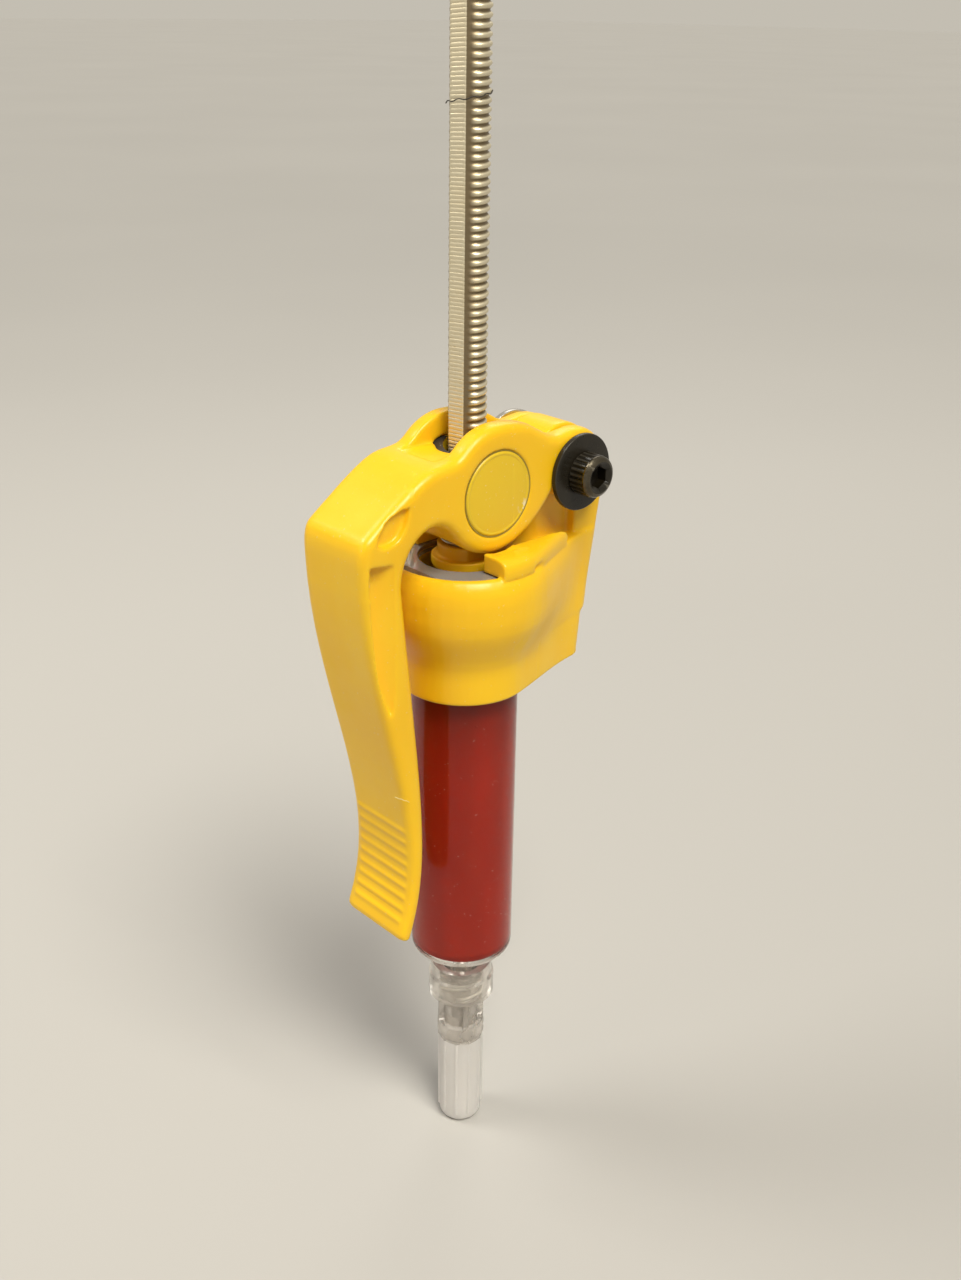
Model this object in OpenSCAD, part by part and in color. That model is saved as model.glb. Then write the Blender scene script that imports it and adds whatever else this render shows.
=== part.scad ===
// Lever-driven plunger head on a 10 cc syringe of soldering flux, millimetres.
// Z runs up the syringe's axis, -X points to the handle, -Y to the screw's head.
// Z = 0 is the middle of the free stretch of the clear barrel.

/* [Syringe] */
// Outside diameter of the clear barrel
barrel_d = 18.6; // [18.4:0.1:18.8]
// Wall of the clear barrel
barrel_wall = 1.4; // [1.1:0.1:1.6]
// Outside diameter of the collar at the barrel's outlet
collar_d = 12.3; // [12:0.1:12.8]
// Level of the underside of the column of flux's piston
piston_z = 30; // [26:0.5:30]
// Number of flutes round the needle's cap
cap_flutes = 10; // [6:1:12]

/* [Rod] */
// Diameter over the rod's thread crests
rod_d = 6.56; // [6.5:0.02:6.6]
// Distance of the rod's flat from its axis
rod_flat = 2.33; // [2.1:0.01:2.5]
// Level of the rod's top end
rod_top = 146; // [120:1:160]

/* [Lever] */
// Width of the lever across both cheeks
lever_w = 15.5; // [15.1:0.1:15.5]
// Radius of the round hub of each cheek
hub_r = 10.4; // [10:0.1:10.6]
// Radius of the cross barrel that turns in the hubs
cross_r = 6.95; // [6.6:0.05:7.1]
// Rounding of the lever's long edges
edge_r = 1.5; // [1.1:0.1:1.6]
// Number of grip ribs across the handle's outer face
grip_ribs = 9; // [6:1:9]

/* [Pivot] */
// Outside diameter of the washer under the screw's head
washer_d = 13; // [11:0.1:13.4]
// Outside diameter of the washer under the nut
nut_washer_d = 14.2; // [12:0.1:14.4]
// Diameter of the socket screw's head
screw_head_d = 7.2; // [6.8:0.1:7.6]

/* [Hidden] */
$fn = 64;
barrel_r = barrel_d / 2;
bore_r = barrel_r - barrel_wall;
rod_r = rod_d / 2;
collar_r = collar_d / 2;
rod_bottom = 38;
half_w = lever_w / 2;
hub_z = 62;
pivot_x = 18.3;
pivot_z = 62;
slot_h = 4.2;
pawl_z = 51;
seat_z = 52.2;
yellow = [0.96, 0.74, 0.06];
lemon = [0.88, 0.74, 0.2];
steel = [0.66, 0.63, 0.56];
black = [0.07, 0.065, 0.06];
clear = [0.86, 0.84, 0.82, 0.4];

// A point on a cubic curve through p[0] and p[3], pulled towards p[1] and p[2]
function bez(p, t) = pow(1 - t, 3) * p[0] + 3 * pow(1 - t, 2) * t * p[1]
                     + 3 * (1 - t) * t * t * p[2] + t * t * t * p[3];
// n steps of such a curve, without its last point
function curve(p, n) = [for (i = [0 : n - 1]) bez(p, i / n)];
// n steps of an arc from angle a to angle b, without its last point
function arc(cx, cz, r, a, b, n) =
    [for (i = [0 : n - 1]) let (t = a + (b - a) * i / n) [cx + r * cos(t), cz + r * sin(t)]];

// Turns a drawing in X and Z into a plate of thickness w centred on Y = 0
module plate(w) rotate([90, 0, 0]) linear_extrude(w, center = true) children();
// A cylinder along Y through the point (x, z), from y0 to y1
module ycyl(x, z, r, y0, y1) translate([x, y1, z]) rotate([90, 0, 0]) cylinder(r = r, h = y1 - y0);
// A cylinder along X at height z, from x0 to x1
module xcyl(z, r, x0, x1) translate([x0, 0, z]) rotate([0, 90, 0]) cylinder(r = r, h = x1 - x0);

// Lever: one smooth outline for handle, shoulder, hub and ear
outer_curve = [[-27.5, 54.5], [-26.9, 29.4], [-12.9, 6.6], [-20.8, -13.3]];
inner_curve = [[-18.9, -14.6], [-12.9, 0.5], [-15.8, 12.5], [-19.5, 51]];
lever_outline = concat(
    curve(inner_curve, 18),
    curve([[-19.5, 51], [-19.6, 57.5], [-12.5, 62.5], [-8.6, 56.5]], 9),
    arc(0.3, 62.2, hub_r, 213, 300, 10),
    curve([[5.5, 53.2], [8.6, 54.6], [11.2, 57.2], [13.1, 60.2]], 4),
    arc(18.7, 63, 6.1, 207, 440, 18),
    curve([[19.76, 69.01], [15.6, 69.8], [14.4, 67.2], [9.6, 70.6]], 6),
    curve([[9.6, 70.6], [6.6, 72.6], [3.6, 73], [0.3, 73]], 4),
    arc(0.3, 62.6, hub_r, 90, 136, 7),
    curve([[-7.2, 69.8], [-8.2, 68.6], [-10.2, 68.8], [-12.2, 68.6]], 3),
    curve([[-12.2, 68.6], [-15.2, 68.4], [-19, 65.6], [-26.4, 60.3]], 6),
    curve([[-26.4, 60.3], [-27.5, 59.4], [-27.7, 57.5], [-27.5, 54.5]], 4),
    curve(outer_curve, 18),
    curve([[-20.8, -13.3], [-20.9, -14.4], [-20, -15], [-18.9, -14.6]], 4));

// The outline's inward direction at point i, less strong where the handle is thin
function inward(p, i) =
    let (n = len(p), a = p[(i + n - 1) % n], b = p[(i + 1) % n], d = b - a, l = norm(d))
    [-d[1], d[0]] / l * min(1, max(0.35, (p[i][1] + 22) / 30));
function ring(p, inset) = [for (i = [0 : len(p) - 1]) p[i] + inset * inward(p, i)];

// Triangles that fill an outline, found by cutting off one ear after another
function side(a, b, c) = (b[0] - a[0]) * (c[1] - a[1]) - (b[1] - a[1]) * (c[0] - a[0]);
function ear(p, l, k) =
    let (n = len(l), a = p[l[(k + n - 1) % n]], b = p[l[k]], c = p[l[(k + 1) % n]])
    side(a, b, c) > 0 && len([for (j = l) let (q = p[j]) if (q != a && q != b && q != c
        && side(a, b, q) >= 0 && side(b, c, q) >= 0 && side(c, a, q) >= 0) 1]) == 0;
function next_ear(p, l, k = 0) = ear(p, l, k) ? k : next_ear(p, l, k + 1);
function fill(p, l) = len(l) == 3 ? [l] : let (n = len(l), k = next_ear(p, l))
    concat([[l[(k + n - 1) % n], l[k], l[(k + 1) % n]]],
           fill(p, [for (i = [0 : n - 1]) if (i != k) l[i]]));

// The outline filled as a plate whose long edges are rounded with radius r
module rounded_plate(p, h, r) {
    n = len(p);
    steps = [90, 60, 30, 0];
    rings = concat([for (a = steps) [-(h - r + r * sin(a)), r * (1 - cos(a))]],
                   [for (i = [3 : -1 : 0]) [h - r + r * sin(steps[i]), r * (1 - cos(steps[i]))]]);
    pts = [for (k = rings) for (q = ring(p, k[1])) [q[0], k[0], q[1]]];
    sides = [for (k = [0 : len(rings) - 2]) for (i = [0 : n - 1])
             for (f = [[k * n + i, k * n + (i + 1) % n, k * n + n + i],
                       [k * n + (i + 1) % n, k * n + n + (i + 1) % n, k * n + n + i]]) f];
    cap = fill(ring(p, r), [for (i = [0 : n - 1]) i]);
    top = (len(rings) - 1) * n;
    polyhedron(points = pts, faces = concat([for (t = cap) [t[2], t[1], t[0]]], sides,
               [for (t = cap) [top + t[0], top + t[1], top + t[2]]]), convexity = 8);
}

// Long scooped recess in the side of the handle, deepest behind the outer skin
module handle_recess() {
    skin = curve([[-26.1, 56], [-25.9, 44], [-24.9, 36], [-22.3, 29.5]], 12);
    intersection() {
        translate([0, -half_w, 0]) plate(4)
            polygon(concat(skin, [[-22.3, 29.5], [-21.6, 34], [-21.3, 45], [-21.6, 55.4]]));
        translate([-20.9, -half_w - 0.05, 35]) rotate([0, 0, -32]) translate([-20, -6, -30])
            cube([20, 6, 60]);
    }
}

// Short slanting recess above it, parted from it by a web
module shoulder_recess() {
    translate([0, -half_w, 0]) plate(2.4)
        polygon(concat(curve([[-24.7, 59.2], [-23.8, 61.6], [-21.6, 63.6], [-18.2, 63.9]], 6),
                       [[-18.2, 63.9], [-19, 61]], curve([[-20.2, 59.4], [-21.2, 58.6], [-23, 58.4], [-24.4, 58.6]], 4)));
}

module lever() color(yellow) difference() {
    union() {
        rounded_plate(lever_outline, half_w, edge_r);
        // grip ribs across the outer face, following its curve
        for (i = [0 : grip_ribs - 1]) {
            q = bez(outer_curve, 0.68 + i * 0.0355);
            translate([q[0] + 0.48, 0, q[1]]) rotate([90, 0, 0])
                cylinder(r = 0.75, h = lever_w - 3.4, center = true, $fn = 16);
        }
    }
    // bore for the cross barrel and for the pivot's sleeve
    ycyl(0, hub_z, cross_r + 0.08, -half_w - 1, half_w + 1);
    ycyl(pivot_x, pivot_z, 3.07, -half_w - 1, half_w + 1);
    // slot between the cheeks for the rod and the head's lug
    translate([-0.7, -slot_h, 40]) cube([40, 2 * slot_h, 40]);
    translate([-0.7, 0, 40]) cylinder(r = slot_h, h = 40);
    // the hubs stand proud of the web between them, which also clears the spring's boss below
    translate([-10.6, -slot_h, 68.35]) cube([20, 2 * slot_h, 10]);
    translate([-6.2, -slot_h, 45]) cube([8, 2 * slot_h, 9.8]);
    handle_recess();
    mirror([0, 1, 0]) handle_recess();
    shoulder_recess();
    mirror([0, 1, 0]) shoulder_recess();
}

// Head: a cup that flows into a rear spine. Its outline at height z grows by f from skirt to bulge
// and the cup is drawn in by d; the rear face leans back, with a small step above the skirt
function rear(z) = z < 35.2 ? 22.2 + (z - 26) * 0.11 : 24 + (z - 35.4) * 0.165;
function half_outline(z, f, d) =
    let (r = 11.3 + 3.35 * f - d, a = 284 + 10 * f, e = [r * cos(a), r * sin(a)],
         c = [rear(z) - 1.8, -6.4 + 0.4 * f])
    concat(arc(0, 0, r, 180, a, 14),
           curve([e, e + (8 + f) * [-sin(a), cos(a)], c - [6, 0.7], c], 8),
           [c, c + [1.2, 0.45], c + [1.7, 1.4], [c[0] + 1.8, 0]]);
function head_outline(z, f, d) = let (h = half_outline(z, f, d), n = len(h))
    concat(h, [for (i = [n - 2 : -1 : 1]) [h[i][0], -h[i][1]]]);
function ease(t) = t < 0 ? 0 : t > 1 ? 1 : t * t * (3 - 2 * t);

// Skin through the outlines at the given heights, levels = [z, f, d]
module loft(levels) {
    n = len(head_outline(30, 0, 0));
    m = len(levels);
    pts = concat([for (l = levels) for (q = head_outline(l[0], l[1], l[2])) [q[0], q[1], l[0]]],
                 [[4, 0, levels[0][0]], [4, 0, levels[m - 1][0]]]);
    polyhedron(points = pts, convexity = 6, faces = concat(
        [for (k = [0 : m - 2]) for (i = [0 : n - 1]) let (a = k * n + i, b = k * n + (i + 1) % n)
            for (f = [[a, a + n, b], [b, a + n, b + n]]) f],
        [for (i = [0 : n - 1]) [m * n, i, (i + 1) % n]],
        [for (i = [0 : n - 1]) [m * n + 1, (m - 1) * n + (i + 1) % n, (m - 1) * n + i]]));
}
body_levels = concat([[27, 0, 0.35], [27.35, 0, 0], [30, 0, 0]],
    [for (z = [32, 33.4, 35.1, 35.3, 36.6, 37.9, 39.2, 40.5, 42.5]) [z, ease((z - 32) / 10.5), 0]],
    [[45.8, 1, 0], [47.6, 1, 0.25], [48.9, 1, 0.75], [49.7, 1, 1.35], [50, 1, 1.9]]);
tab_levels = [[49.75, 1, 0.9], [51.3, 1, 0.9], [52.2, 1, 1.3], [52.7, 1, 2.1], [52.85, 1, 3]];
// Column behind the ears, which carries the rear face on up to the lug
column_side = [[20, 48.5], [28, 48.5], [28, 54.8], [26.7, 57.8], [20, 57.8]];

module tab() intersection() {
    loft(tab_levels);
    translate([-3.5, -16, 45]) cube([20.3, 7.9, 10]);
}
// Spring's boss: round at its foot, with flats beside the hubs above
module boss() {
    translate([0, 0, 48]) cylinder(r = 5.6, h = 1.95);
    intersection() {
        translate([0, 0, 49]) cylinder(r = 4.6, h = 6);
        translate([-6, -3.7, 40]) cube([12, 7.4, 20]);
    }
}
module arm() translate([2, -3.9, 49.7]) cube([14, 7.8, 6.6]);
module column() intersection() {
    translate([-0.06, 0, 0]) loft([[48.4, 1, 0], [58, 1, 0]]);
    plate(11.4) polygon(column_side);
}

module head_body() color(yellow) difference() {
    union() {
        difference() {
            loft(body_levels);
            // barrel's bore, pocket for its flange
            translate([0, 0, 20]) cylinder(r = barrel_r + 0.45, h = 40);
            translate([0, 0, 47.4]) cylinder(r = 12.4, h = 5);
        }
        tab();
        mirror([0, 1, 0]) tab();
        column();
        // lug between the cheeks
        plate(8.1) polygon(concat([[12.5, 49.7]], [[25.6, 49.7], [25.6, 58]],
            arc(18, 62.4, 7.1, -10, 190, 18), [[11, 61.1]]));
        arm();
        boss();
    }
    // groove under the lip of each tab
    for (s = [-1, 1]) translate([3.2, s > 0 ? 12.2 : -16.9, 49.5]) cube([8.6, 4.7, 1.05]);
    // rod hole, spring seat and the hollow below the cross barrel
    translate([0, 0, 40]) cylinder(r = 3.42, h = 30);
    translate([0, 0, seat_z]) cylinder(r = 4.65, h = 10);
    ycyl(0, 61.1, 8.7, -10, 10);
    // seats for the ears of the lever beside the lug
    for (s = [-1, 1]) translate([18.5, s * 8.1, 62.5]) rotate([90, 0, 0])
        cylinder(r = 6.9, h = 8, center = true);
    // bores for the holding pawl, its plug and the pivot's sleeve
    xcyl(pawl_z, 1, 3, 30);
    xcyl(pawl_z, 1.5, 20, 30);
    ycyl(pivot_x, pivot_z, 3, -10, 10);
}

// Cross barrel with the rod hole, a pawl bore behind the rod and the spring's recess below
module drive_barrel() color(lemon) difference() {
    rotate([90, 0, 0]) translate([0, hub_z, 0]) rotate_extrude($fn = 96)
        polygon([[0, -half_w], [cross_r - 0.4, -half_w], [cross_r, -half_w + 0.4],
                 [cross_r, half_w - 0.4], [cross_r - 0.4, half_w], [0, half_w]]);
    translate([0, 0, 50]) cylinder(r = 3.6, h = 30);
    translate([-2.2, 0, 50]) cylinder(r = 3.6, h = 30);
    translate([-2.2, -3.6, 50]) cube([2.2, 7.2, 30]);
    translate([0, 0, 50]) cylinder(r = 4.2, h = 8.6);
    xcyl(hub_z, 1.95, 0, 10);
    // seat of the leaf that presses on the pawl
    difference() {
        ycyl(0, hub_z, cross_r + 1, -1.9, 1.9);
        ycyl(0, hub_z, cross_r - 0.45, -2, 2);
        translate([-20, -5, 50]) cube([23.2, 10, 30]);
    }
    for (s = [-1, 1]) translate([4.1, -1.9, hub_z + s * 4.7 - 0.25]) cube([1, 3.8, 0.5]);
}

module drive_pawl() color(steel) intersection() {
    xcyl(hub_z, 1.88, 3.42, cross_r - 0.8);
    // the tip is cut to the slope of the thread's flanks
    plate(6) polygon([[3.42, hub_z - 0.5], [4.3, hub_z - 1.9], [8, hub_z - 1.9],
                      [8, hub_z + 1.9], [4.3, hub_z + 1.9], [3.42, hub_z + 0.9]]);
}

module drive_pawl_leaf() color(steel) plate(3.4)
    polygon(concat(arc(0, hub_z, cross_r - 0.42, -46, 46, 16), [[4.52, hub_z + 4.69]],
                   [[4.3, hub_z + 4.9], [4.72, hub_z + 5.02]],
                   arc(0, hub_z, cross_r - 0.12, 46, -46, 16), [[4.72, hub_z - 5.02]],
                   [[4.3, hub_z - 4.9]]));

module holding_pawl() color(steel) intersection() {
    xcyl(pawl_z, 0.94, 3.42, 9.4);
    plate(6) polygon([[3.42, pawl_z - 0.2], [4.1, pawl_z - 1], [12, pawl_z - 1],
                      [12, pawl_z + 1], [4.4, pawl_z + 1], [3.42, pawl_z + 0.7]]);
}

// A coil spring: rings of round wire, one for each turn
module coil(r, wire, z0, z1, turns) for (i = [0 : turns - 1])
    translate([0, 0, z0 + wire + (z1 - z0 - 2 * wire) * i / (turns - 1)])
        rotate_extrude($fn = 48) translate([r, 0]) circle(r = wire, $fn = 16);

module holding_pawl_spring() color(steel)
    translate([9.5, 0, pawl_z]) rotate([0, 90, 0]) coil(0.7, 0.18, 0, 9.6, 14);

module holding_pawl_plug() color(black) difference() {
    xcyl(pawl_z, 1.48, 20.1, 25.9);
    translate([24, 0, pawl_z]) rotate([0, 90, 0]) cylinder(r = 0.87, h = 3, $fn = 6);
}

module return_spring() color(steel) coil(3.78, 0.26, seat_z, 58.6, 6);

module pivot_sleeve() color([0.8, 0.66, 0.35]) difference() {
    ycyl(pivot_x, pivot_z, 3, -half_w - 0.08, half_w + 0.08);
    ycyl(pivot_x, pivot_z, 2.05, -9, 9);
}

module pivot_screw() color(black) translate([pivot_x, 0, pivot_z]) rotate([90, 0, 0]) difference() {
    rotate_extrude() polygon([[0, -12.9], [1.7, -12.9], [2, -12.6], [2, 8.85],
        [screw_head_d / 2, 8.85], [screw_head_d / 2, 12.4], [screw_head_d / 2 - 0.45, 12.85],
        [0, 12.85]]);
    translate([0, 0, 10.7]) cylinder(r = 1.73, h = 3, $fn = 6);
}

module washer(d, y0, y1) difference() {
    ycyl(pivot_x, pivot_z, d / 2, y0, y1);
    ycyl(pivot_x, pivot_z, 2.15, y0 - 1, y1 + 1);
}
module screw_washer() color(black) washer(washer_d, -half_w - 1.08, -half_w - 0.08);
module nut_washer() color(steel) washer(nut_washer_d, half_w + 0.08, half_w + 1.08);

module lock_nut() color(steel) difference() {
    translate([pivot_x, 0, pivot_z]) rotate([-90, 30, 0]) {
        translate([0, 0, half_w + 1.09]) cylinder(r = 4.04, h = 3.2, $fn = 6);
        translate([0, 0, half_w + 1.09]) cylinder(r = 3.2, h = 4.6);
    }
    ycyl(pivot_x, pivot_z, 2, 5, 20);
}

// Rod with one long flat on the handle's side
module threaded_rod() color(steel) difference() {
    rotate_extrude() polygon([[0, rod_bottom], [rod_r - 0.7, rod_bottom], [rod_r, rod_bottom + 0.7],
                              [rod_r, rod_top - 0.7], [rod_r - 0.7, rod_top], [0, rod_top]]);
    translate([-10, -10, rod_bottom + 5]) cube([10 - rod_flat, 20, 200]);
    translate([0, 0, 30]) cylinder(r = 1.5, h = 17);
}

module foot_screw() color(steel) difference() {
    rotate_extrude() polygon([[0, 36.2], [2.4, 36.2], [2.8, 36.6], [2.8, 37.8], [1.5, 37.8],
                              [1.5, 45.4], [0, 45.4]]);
    translate([0, 0, 35]) cylinder(r = 1.15, h = 2.2, $fn = 6);
}

module pusher_foot() color(yellow) difference() {
    rotate_extrude() polygon([[0, 36], [7, 36], [7.3, 36.4], [7.3, 37.6], [6.6, 38], [4.9, 38.4],
                              [4.7, 42], [0, 42]]);
    translate([0, 0, rod_bottom]) cylinder(r = rod_r + 0.06, h = 10);
    translate([0, 0, 30]) cylinder(r = 1.6, h = 20);
    translate([0, 0, 35]) cylinder(r = 3, h = 2.8);
}

module piston() color([0.9, 0.88, 0.84]) difference() {
    rotate_extrude() polygon([[0, piston_z - 1.4], [4, piston_z - 1.1], [bore_r - 0.5, piston_z],
        [bore_r - 0.05, piston_z + 0.5], [bore_r - 0.05, piston_z + 1.3], [bore_r - 0.5, piston_z + 1.6],
        [bore_r - 0.5, piston_z + 3.6], [bore_r - 0.05, piston_z + 3.9], [bore_r - 0.05, 35.2],
        [bore_r - 0.4, 35.9], [0, 35.9]]);
    translate([0, 0, 33.4]) cylinder(r = 4.4, h = 5);
}

module flux_paste() color([0.42, 0.03, 0.04]) difference() {
    rotate_extrude() polygon(concat([[0, -26.95]], arc(bore_r - 1.9, -25.1, 1.85, 270, 360, 6),
        [[bore_r - 0.05, -25.1], [bore_r - 0.05, piston_z - 0.1], [0, piston_z - 0.1]]));
    translate([0, 0, piston_z - 1.45]) cylinder(r1 = 3.9, r2 = bore_r - 0.3, h = 1.5);
}

// Clear barrel with its flange, rounded shoulder, locking collar and outlet cone
module syringe_barrel() color(clear) difference() {
    union() {
        rotate_extrude($fn = 96) polygon(concat([[0, -30], [5.4, -30], [5.4, -28.4]],
            arc(barrel_r - 1.8, -26.5, 1.8, 270, 360, 6), [[barrel_r, -26.5], [barrel_r, 26.5],
            [barrel_r + 0.35, 26.5], [barrel_r + 0.35, 49.6], [0, 49.6]]));
        intersection() {
            translate([0, 0, 47.5]) cylinder(r = 12.1, h = 2.1);
            translate([-10.6, -15, 40]) cube([21.2, 30, 20]);
        }
        rotate_extrude() polygon([[0, -28.2], [collar_r - 0.4, -28.2], [collar_r - 0.4, -34.4],
            [collar_r, -34.9], [collar_r, -39], [collar_r - 0.35, -39.4], [0, -39.4]]);
        translate([0, 0, -40.9]) cylinder(r = 2.3, h = 8);
    }
    rotate_extrude($fn = 96) polygon(concat([[0, -27]], arc(bore_r - 1.9, -25.1, 1.9, 270, 360, 6),
        [[bore_r, -25.1], [bore_r, 50], [0, 50]]));
    // ring-shaped space of the lock round the outlet cone
    rotate_extrude() polygon([[2.1, -33], [4.15, -33], [4.15, -42], [1.95, -42]]);
    translate([0, 0, -45]) cylinder(r = 1, h = 20);
}

// Hub with the lock's lip inside the collar, and four ribs below a flange
module needle_hub() color(clear) difference() {
    union() {
        rotate_extrude() polygon([[0, -34.3], [3.6, -34.3], [4.05, -34.8], [4.05, -36], [3.7, -36.4],
            [3.7, -39.6], [4.35, -39.9], [4.35, -40.9], [4.1, -41.2], [3.3, -41.3], [3.2, -46.3],
            [3.05, -55], [1.2, -56.5], [0, -56.5]]);
        for (a = [61 : 90 : 331]) rotate([0, 0, a]) translate([2.8, -0.5, -46.1]) cube([1.53, 1, 5.3]);
    }
    translate([0, 0, -45]) cylinder(r1 = 1.9, r2 = 2.18, h = 11);
    translate([0, 0, -60]) cylinder(r = 0.36, h = 20);
}

module needle_tube() color(steel) difference() {
    translate([0, 0, -65]) cylinder(r = 0.35, h = 19.9);
    translate([0, 0, -66]) cylinder(r = 0.2, h = 30);
}

module needle_cap() color([0.87, 0.84, 0.8, 0.6]) difference() {
    union() {
        rotate_extrude() polygon(concat([[0, -46.2], [4.3, -46.2], [4.45, -46.5], [4.45, -48.7], [4.2, -49]],
            [for (i = [0 : 6]) [2.9 + 1.15 * cos(i * 15), -67.8 - 1.5 * sin(i * 15)]], [[0, -69.4]]));
        for (i = [0 : cap_flutes - 1]) rotate([0, 0, i * 360 / cap_flutes])
            translate([3.95, 0, -67.3]) cylinder(r = 0.42, h = 18.1, $fn = 24);
    }
    translate([0, 0, -56]) cylinder(r1 = 3.1, r2 = 3.3, h = 10);
    translate([0, 0, -67.6]) cylinder(r1 = 2.6, r2 = 3.1, h = 11.61);
}

head_body();
lever();
drive_barrel();
drive_pawl();
drive_pawl_leaf();
holding_pawl();
holding_pawl_spring();
holding_pawl_plug();
return_spring();
pivot_sleeve();
pivot_screw();
screw_washer();
nut_washer();
lock_nut();
threaded_rod();
foot_screw();
pusher_foot();
piston();
flux_paste();
syringe_barrel();
needle_hub();
needle_tube();
needle_cap();
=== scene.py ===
"""Looks of a lever-driven flux syringe dispenser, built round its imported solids.

Metres throughout, in the solids' own frame: Z runs up the syringe's axis, -X points to the
handle and -Y to the screw's head. Sizes in millimetres are multiplied by MM where they are used.
"""
import math

import bmesh
import bpy
from mathutils import Matrix, Vector


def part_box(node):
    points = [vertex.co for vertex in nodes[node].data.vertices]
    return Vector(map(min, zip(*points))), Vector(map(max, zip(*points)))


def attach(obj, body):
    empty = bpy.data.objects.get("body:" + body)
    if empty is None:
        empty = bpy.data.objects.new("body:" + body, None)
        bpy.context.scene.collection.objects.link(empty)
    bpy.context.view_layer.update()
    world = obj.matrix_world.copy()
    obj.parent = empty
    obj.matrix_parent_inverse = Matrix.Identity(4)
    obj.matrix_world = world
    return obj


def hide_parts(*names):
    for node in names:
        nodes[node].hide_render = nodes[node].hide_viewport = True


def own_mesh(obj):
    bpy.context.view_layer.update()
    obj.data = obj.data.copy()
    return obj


MM = 0.001

# Rod's thread, as in the solids
ROD_RADIUS = 3.28
THREAD_PITCH = 1.25
THREAD_DEPTH = 0.44
ROD_FLAT = 2.33
FLAT_START = 43.0
ROD_CHAMFER = 0.7
# Angle from the flat's middle at which the ribs begin, the angle over which they rise to their
# full height, and the depth of the flat's tool lines
RIB_END = 45.0
RIB_RISE = 34.0
TOOL_LINE = 0.07

# Pivot's axis, which runs along Y, and the outer face of the lever's cheeks
PIVOT_X, PIVOT_Z = 18.3, 62.0
CHEEK_Y = 7.75
# Height of the cross barrel's axis, and depth of the knurl on the screw's head
HUB_Z = 62.0
KNURL_DEPTH = 0.12

# Length of the cap's mouth that is clearer than its flutes
CLEAR_MOUTH = 3.6

# Levels between which the barrel's resin is clear, and the level where the collar's begins
CLOUDY_BELOW = -26.6
COLLAR_BELOW = -29.0
MILKY_ABOVE = 47.2

# Remesh of the mouldings: size of a voxel, the passes that take off its steps, and those that
# round the edges
VOXEL = 0.22
FIRST_PASSES = 4
RELAX_PASSES = 26
# Where the mouldings round less: the handle's grip ribs, the cup's rim and the skirt's lower edge
RIBS_BELOW, RIBS_HALF_WIDTH, RIBS_SHARE = 9, 6.6, 0.22
RIM_ABOVE, RIM_REACH, RIM_END_X = 48.9, 13.6, 3
SKIRT_BELOW = 27.6

# Distances in metres under which points are one, for solids' meshes and for finer ones
WELD_GAP = 1e-6
FINE_GAP = 1e-7
# Angle in degrees over which an edge counts as sharp
SHARP = 32

# How far the flux reaches into the barrel's wall, so that no air shows between them, and at the
# shoulder, where thick resin magnifies it; depth of the piston's cone in the flux
WETTING = 0.12
SHOULDER_WETTING = 0.45
CONE_DEPTH = 1.35
# Levels below which the flux meets the shoulder, and its foot
SHOULDER_BELOW = -20.0
FOOT_BELOW = -26.5
BUBBLES = 26
GOLDEN_ANGLE = 2.39996

# Camera, fitted to the photograph
LENS_MM = 39.15
SENSOR_MM = 36.0
CAMERA_AZIMUTH = -43.5
CAMERA_PITCH = 24.7
CAMERA_ROLL = 0.85
AIM_HEIGHT = 34.0
AIM_DEPTH = 236.4
AIM_SHIFT = -2.78

# Gap under the cap's end, and the floor's half width in metres
FLOOR_GAP = 0.2
FLOOR_REACH = 12.0

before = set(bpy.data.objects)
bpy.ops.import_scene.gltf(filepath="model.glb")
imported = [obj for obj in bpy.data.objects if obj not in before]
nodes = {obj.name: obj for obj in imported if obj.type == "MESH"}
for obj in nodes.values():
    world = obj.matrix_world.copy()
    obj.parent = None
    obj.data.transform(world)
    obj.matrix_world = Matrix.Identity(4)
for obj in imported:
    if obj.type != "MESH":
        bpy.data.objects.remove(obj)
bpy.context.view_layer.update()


# ---------------------------------------------------------------- mesh helpers

def new_piece(name, mesh, body, material):
    """An object for a finished mesh, riding on a body and taking its finish from a slot."""
    piece = bpy.data.objects.new(name, mesh)
    bpy.context.scene.collection.objects.link(piece)
    mesh.materials.clear()
    mesh.materials.append(material)
    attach(piece, body)
    return piece


def mesh_from(name, points, faces, smooth=True):
    """A mesh from points in millimetres."""
    mesh = bpy.data.meshes.new(name)
    mesh.from_pydata([[c * MM for c in p] for p in points], [], faces)
    mesh.validate()
    mesh.update()
    for polygon in mesh.polygons:
        polygon.use_smooth = smooth
    return mesh


def welded_mesh(node, name):
    """A copy of a solid's mesh whose faces share their corners."""
    mesh = nodes[node].data.copy()
    mesh.name = name
    if "custom_normal" in mesh.attributes:
        mesh.attributes.remove(mesh.attributes["custom_normal"])
    bm = bmesh.new()
    bm.from_mesh(mesh)
    bmesh.ops.remove_doubles(bm, verts=bm.verts, dist=WELD_GAP)
    bmesh.ops.dissolve_degenerate(bm, dist=FINE_GAP, edges=bm.edges)
    bm.to_mesh(mesh)
    bm.free()
    return mesh


def apply_modifiers(piece):
    """Turns a piece's modifiers into plain mesh."""
    evaluated = piece.evaluated_get(bpy.context.evaluated_depsgraph_get())
    mesh = bpy.data.meshes.new_from_object(evaluated)
    piece.modifiers.clear()
    piece.data = mesh


def split_edges(piece, degrees):
    """Shades the two sides of each edge sharper than the given angle by themselves."""
    split = piece.modifiers.new("edges", "EDGE_SPLIT")
    split.split_angle = math.radians(degrees)


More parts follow.
